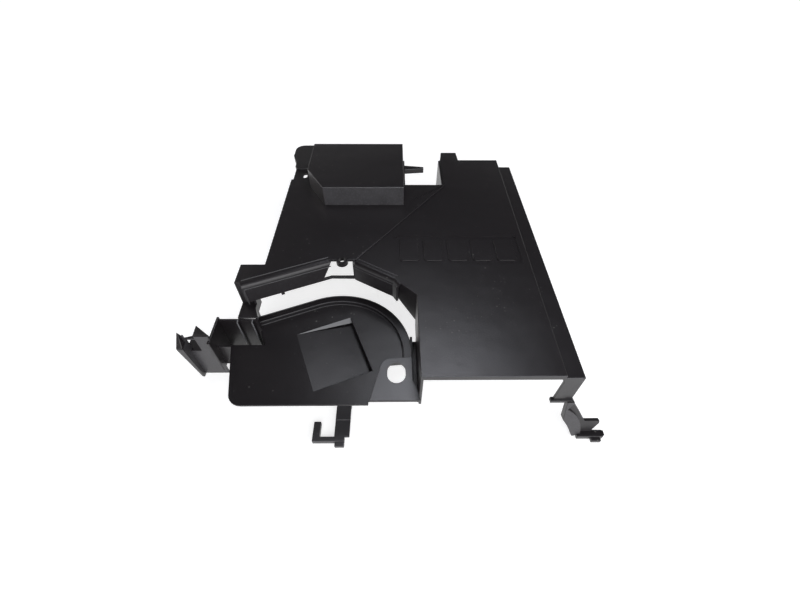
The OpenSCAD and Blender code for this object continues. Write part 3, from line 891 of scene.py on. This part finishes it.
@dataclass
class RimBeads:
    """Fine beads along the rim that follows the slot round the tray.

    Attributes:
        centre: Centre of the rim's bend.
        outer_r: Radius of the rim's outer edge.
        run: Length of the straight run.
        end_y: Where the rim meets the pull tab.
        rows: How far inside the outer edge and how high each bead lies.
        steps: Stretches in the bend.
    """

    centre: Place = (-38.75, -89.75)
    outer_r: float = 54.0
    run: float = 45.0
    end_y: float = -96.0
    rows: tuple[tuple[float, float], ...] = ((0.35, 34.3), (5.7, 34.3), (6.35, 31.1))
    steps: int = 24
    radius: float = 0.4
    bend: float = 1.0
    # Wear and painted highlight: the rim beads are painted lighter.
    wear: float = 0.75

    def path(self, inwards: float, z: float) -> list[Point]:
        """Gives a line that follows the rim.

        Args:
            inwards: Its distance from the rim's outer edge.
            z: Its height.

        Returns:
            The line's points, from the left end to the raised tab.
        """
        start = math.pi / 2 + SLOT_ANGLE
        r = self.outer_r - inwards
        turns = [start * (1 - step / self.steps) for step in range(self.steps + 1)]
        curve = [(self.centre[0] + r * math.cos(a), self.centre[1] + r * math.sin(a), z) for a in turns]
        left = (curve[0][0] - self.run * math.sin(start), curve[0][1] + self.run * math.cos(start), z)
        return [left, *curve, (self.centre[0] + r, self.end_y, z)]

    def build(self, tree: bpy.types.NodeTree, finish: bpy.types.Material) -> None:
        """Makes the beads.

        Args:
            tree: The tree that runs beads along lines.
            finish: Their material.
        """
        sizes = {"Radius": self.radius * MM, "Bend": self.bend * MM, "Wear": self.wear}
        TreePiece("tray_rim_beads", [self.path(*row) for row in self.rows], sizes).build(tree, finish)


@dataclass
class PocketNoses:
    """Rounded noses on the two upright ribs in the pocket at the tray's left end.

    Attributes:
        ribs_x: Where the ribs stand.
        y: Where their front edges lie.
        low: Lower end of the noses.
        high: Upper end of the noses.
        turn_back: How far each nose runs back over its rib.
    """

    ribs_x: tuple[float, ...] = (-111.9, -101.15)
    y: float = -68.5
    low: float = 12.0
    high: float = 42.9
    turn_back: float = 2.4
    radius: float = 0.6
    bend: float = 0.6
    # Painted highlight: the noses are painted much lighter than the pocket.
    wear: float = 2.0

    def build(self, tree: bpy.types.NodeTree, finish: bpy.types.Material) -> None:
        """Makes the noses.

        Args:
            tree: The tree that runs beads along lines.
            finish: Their material.
        """
        steps = ((self.y, self.low), (self.y, self.high), (self.y + self.turn_back, self.high))
        lines = [[(x, y, z) for y, z in steps] for x in self.ribs_x]
        sizes = {"Radius": self.radius * MM, "Bend": self.bend * MM, "Wear": self.wear}
        TreePiece("pocket_rib_noses", lines, sizes).build(tree, finish)


@dataclass
class PinMarks:
    """Marks of the mould's ejector pins, in the middle of most bays between the ribs under the roof.

    Attributes:
        cover_x: Columns of marks under the duct cover.
        cover_y: Rows of marks under the duct cover.
        deck: Places of the marks under the deck.
        cover_low: Height of the duct cover's underside.
        deck_low: Height of the deck's underside.
    """

    cover_x: tuple[float, ...] = (50.75, 82.75)
    cover_y: tuple[float, ...] = (-110.0, -78.0, -46.0, 18.0, 50.0, 82.0)
    deck: tuple[Place, ...] = (
        (-77.0, -14.0), (-45.0, -12.0), (-77.0, 18.0), (-45.0, 18.0), (-13.0, 18.0),
    )
    cover_low: float = 63.0
    deck_low: float = 64.2
    radius: float = 3.0
    height: float = 0.5
    wear: float = 0.25

    def build(self, tree: bpy.types.NodeTree, finish: bpy.types.Material) -> None:
        """Makes the marks.

        Args:
            tree: The tree that sets marks on points.
            finish: Their material.
        """
        points = [[(x, y, self.cover_low)] for x in self.cover_x for y in self.cover_y]
        points += [[(x, y, self.deck_low)] for x, y in self.deck]
        sizes = {"Radius": self.radius * MM, "Height": self.height * MM, "Wear": self.wear}
        TreePiece("ejector_pin_marks", points, sizes).build(tree, finish)


@dataclass
class RampFacet:
    """The sloped facet that leads from the tray's floor down into the deep end of the ramp.

    Attributes:
        start: Its shallow end, on the tray's floor.
        length: Its length.
        depth: Its depth at the deep end.
        reach: Its width at the deep end.
        sink: How far it goes into the solid behind and below.
        steps: Stretches along it.
        wear: Painted highlight on its surface, over the light its slope catches.
    """

    start: Point = (-70.25, -71.25, 31.0)
    length: float = 42.0
    depth: float = 3.0
    reach: float = 2.7
    sink: float = 0.15
    steps: int = 8
    wear: float = 2.0

    def section(self, share: float) -> tuple[Vector, Vector, Vector]:
        """Gives the corners of one cut through the wedge.

        Args:
            share: How far along the facet it lies, from 0 to 1.

        Returns:
            The top of the facet, its foot, and the corner hidden behind it.
        """
        along = Vector((math.cos(SLOT_ANGLE), math.sin(SLOT_ANGLE), 0.0))
        across = Vector((along.y, -along.x, 0.0))
        down = Vector((0.0, 0.0, self.depth * share + self.sink))
        edge = Vector(self.start) + along * self.length * share
        behind = edge - across * self.sink
        return behind, edge + across * self.reach * share - down, behind - down

    def build(self, finish: bpy.types.Material) -> None:
        """Makes the facet as a thin wedge against the ramp's rear wall.

        Args:
            finish: Its material.
        """
        verts = [mm(*p) for i in range(self.steps + 1) for p in self.section(i / self.steps)]
        sides = ((0, 1), (1, 2), (2, 0))
        last = 3 * self.steps
        faces = [(i + a, i + 3 + a, i + 3 + b, i + b) for i in range(0, last, 3) for a, b in sides]
        faces += [(0, 1, 2), (last + 2, last + 1, last)]
        mesh = bpy.data.meshes.new("ramp_facet")
        mesh.from_pydata(verts, [], faces)
        shape = bmesh.new()
        shape.from_mesh(mesh)
        bmesh.ops.remove_doubles(shape, verts=shape.verts, dist=WELD)
        bmesh.ops.recalc_face_normals(shape, faces=shape.faces)
        # Painted highlight: the whole facet is painted lighter.
        wear_highlight_layer = shape.faces.layers.float.new(EDGE_WEAR_AND_HIGHLIGHT)
        for face in shape.faces:
            face[wear_highlight_layer] = self.wear
        shape.to_mesh(mesh)
        shape.free()
        mesh.materials.append(finish)
        add_piece("ramp_facet", mesh)


# ---- The studio ----


@dataclass(frozen=True)
class SoftLamp:
    """A rectangular lamp: centre, aim and size in millimetres, tint, and power in watts."""

    centre: Point
    aim: Point
    size: tuple[float, float]
    tint: Colour
    power: float


class Lamp(Enum):
    """The studio's lamps."""

    KEY = SoftLamp((110.0, 125.0, 620.0), (20.0, -110.0, 66.0), (190.0, 190.0), (0.9, 0.92, 1.0), 0.88)
    FILL = SoftLamp((-25.0, 245.0, 620.0), (0.0, -100.0, 31.0), (160.0, 160.0), (0.92, 0.94, 1.0), 0.26)
    FRONT = SoftLamp((180.0, -850.0, 540.0), (0.0, -20.0, 30.0), (1500.0, 900.0), (0.97, 0.98, 1.0), 12.5)
    SIDE = SoftLamp((900.0, -300.0, 560.0), (0.0, 0.0, 30.0), (500.0, 500.0), (1.0, 0.97, 0.95), 2.5)
    BACK = SoftLamp((-900.0, 700.0, 500.0), (0.0, 0.0, 30.0), (500.0, 500.0), (1.0, 0.96, 0.96), 2.2)


@dataclass
class Studio:
    """A plain pale floor, soft lamps, dim surroundings and the camera.

    Attributes:
        eye: The camera's place in millimetres.
        pitch: How far it looks down, in degrees.
        yaw: Its turn about the upright axis, in degrees.
        roll: Its turn about its own view, in degrees.
        lens: Its focal length in millimetres.
        sensor: Width of its sensor in millimetres.
        shift: Its lens shift.
        nearest: Where its view starts, in metres.
        floor_size: Width of the floor in metres.
        floor_sides: Sides of the round floor.
        floor_drop: How far the floor lies below the shroud's feet, in metres.
        wall_rise: Height of the far wall in metres.
        floor_tone: The grey that takes the shadow.
        floor_roughness: Roughness of the floor.
        floor_glow: Strength of the plain white near the shroud and far from it.
        glow_reach: Distances in metres between which the white grows.
        sky: Colour of the surroundings.
        sky_strength: Their strength.
    """

    eye: Point = (3.4, -243.9, 274.9)
    pitch: float = 47.78
    yaw: float = -1.09
    roll: float = 0.65
    lens: float = 17.77
    sensor: float = 36.0
    shift: tuple[float, float] = (0.0, -0.017)
    nearest: float = 0.01
    floor_size: float = 36.0
    floor_sides: int = 64
    floor_drop: float = 0.0001
    wall_rise: float = 6.0
    floor_tone: Colour = (0.55, 0.55, 0.55)
    floor_roughness: float = 0.9
    floor_glow: tuple[float, float] = (0.72, 1.0)
    glow_reach: tuple[float, float] = (0.25, 0.8)
    sky: Colour = (0.93, 0.95, 1.0)
    sky_strength: float = 0.042

    def build(self) -> None:
        """Makes the floor, the lamps, the world and the camera."""
        self.floor()
        for lamp in Lamp:
            self.lamp(lamp)
        self.world()
        self.camera()

    def floor(self) -> None:
        """Makes the round floor and the low wall that closes it far away."""
        steps, radius = self.floor_sides, self.floor_size / 2
        turns = [math.tau * i / steps for i in range(steps)]
        ring = [(radius * math.cos(turn), radius * math.sin(turn)) for turn in turns]
        verts = [(x, y, z) for z in (0.0, self.wall_rise) for x, y in ring]
        wall = [(i, steps + i, steps + (i + 1) % steps, (i + 1) % steps) for i in range(steps)]
        mesh = bpy.data.meshes.new("floor")
        mesh.from_pydata(verts, [], [tuple(range(steps)), *wall])
        mesh.materials.append(self.floor_paint())
        floor = bpy.data.objects.new("floor", mesh)
        bpy.context.scene.collection.objects.link(floor)
        floor.location = (0.0, 0.0, -self.floor_drop)

    def floor_paint(self) -> bpy.types.Material:
        """Makes the floor's white, which keeps the shroud's shadow.

        Returns:
            A matt grey that is seen as plain white, directly, in gloss and through clear material.
        """
        made = bpy.data.materials.new("white_floor")
        made.use_nodes = True
        shader = made.node_tree.nodes["Principled BSDF"]
        shader.inputs["Base Color"].default_value = (*self.floor_tone, 1.0)
        shader.inputs["Roughness"].default_value = self.floor_roughness
        shader.inputs["Specular IOR Level"].default_value = 0.0
        shader.inputs["Emission Color"].default_value = (1.0, 1.0, 1.0, 1.0)
        w = ShaderWriter(made.node_tree)
        ray = w.node("ShaderNodeLightPath").outputs
        seen = ray["Is Camera Ray"]
        for kind in ("Is Glossy Ray", "Is Transmission Ray"):
            seen = w.math("MAXIMUM", seen, ray[kind])
        away = w.node("ShaderNodeVectorMath", {"operation": "LENGTH"})
        w.feed(away.inputs[0], w.node("ShaderNodeTexCoord").outputs["Object"])
        (near, far), (dim, full) = self.glow_reach, self.floor_glow
        glow = w.node(
            "ShaderNodeMapRange",
            Value=away.outputs["Value"], From_Min=near, From_Max=far, To_Min=dim, To_Max=full,
        )
        w.feed(shader.inputs["Emission Strength"], w.math("MULTIPLY", seen, glow.outputs["Result"]))
        return made

    def lamp(self, lamp: Lamp) -> None:
        """Makes one lamp.

        Args:
            lamp: Which one.
        """
        soft = lamp.value
        light = bpy.data.lights.new("lamp_" + lamp.name.lower(), "AREA")
        light.shape = "RECTANGLE"
        light.size, light.size_y = mm(*soft.size)
        light.energy = soft.power
        light.color = soft.tint
        made = bpy.data.objects.new(light.name, light)
        bpy.context.scene.collection.objects.link(made)
        made.location = mm(*soft.centre)
        made.rotation_euler = (Vector(mm(*soft.aim)) - made.location).to_track_quat("-Z", "Y").to_euler()

    def world(self) -> None:
        """Makes the plain dim surroundings above the floor."""
        world = bpy.data.worlds.new("studio")
        world.use_nodes = True
        back = world.node_tree.nodes["Background"]
        back.inputs["Color"].default_value = (*self.sky, 1.0)
        back.inputs["Strength"].default_value = self.sky_strength
        bpy.context.scene.world = world

    def camera(self) -> None:
        """Makes the camera, which looks down on the shroud from its front."""
        data = bpy.data.cameras.new("view")
        data.lens = self.lens
        data.sensor_width = self.sensor
        data.shift_x, data.shift_y = self.shift
        data.clip_start = self.nearest
        made = bpy.data.objects.new("view", data)
        bpy.context.scene.collection.objects.link(made)
        made.location = mm(*self.eye)
        turns = ((self.yaw, "Z"), (90.0 - self.pitch, "X"), (self.roll, "Z"))
        yaw, pitch, roll = (Matrix.Rotation(math.radians(angle), 4, axis) for angle, axis in turns)
        made.rotation_euler = (yaw @ pitch @ roll).to_euler()
        bpy.context.scene.camera = made


def main() -> None:
    """Builds the shroud's looks and the studio."""
    logging.basicConfig(level=logging.INFO, format="%(name)s: %(message)s")
    effects = (MouldGrain(), DustSpecks(), PaintedWallLight(), HandlingScuffs())
    groups = {group.name: group for group in (effect.group() for effect in effects)}
    finish = MouldedPlastic("satin_black_moulding").material(groups)
    RoundedShell().build(finish)
    beads = bead_tree()
    for trim in (SlotBeads(), RimBeads(), PocketNoses()):
        trim.build(beads, finish)
    PinMarks().build(mark_tree(), finish)
    RampFacet().build(finish)
    Studio().build()
    bpy.context.scene.view_settings.view_transform = "Standard"


if __name__ == "__main__":
    main()
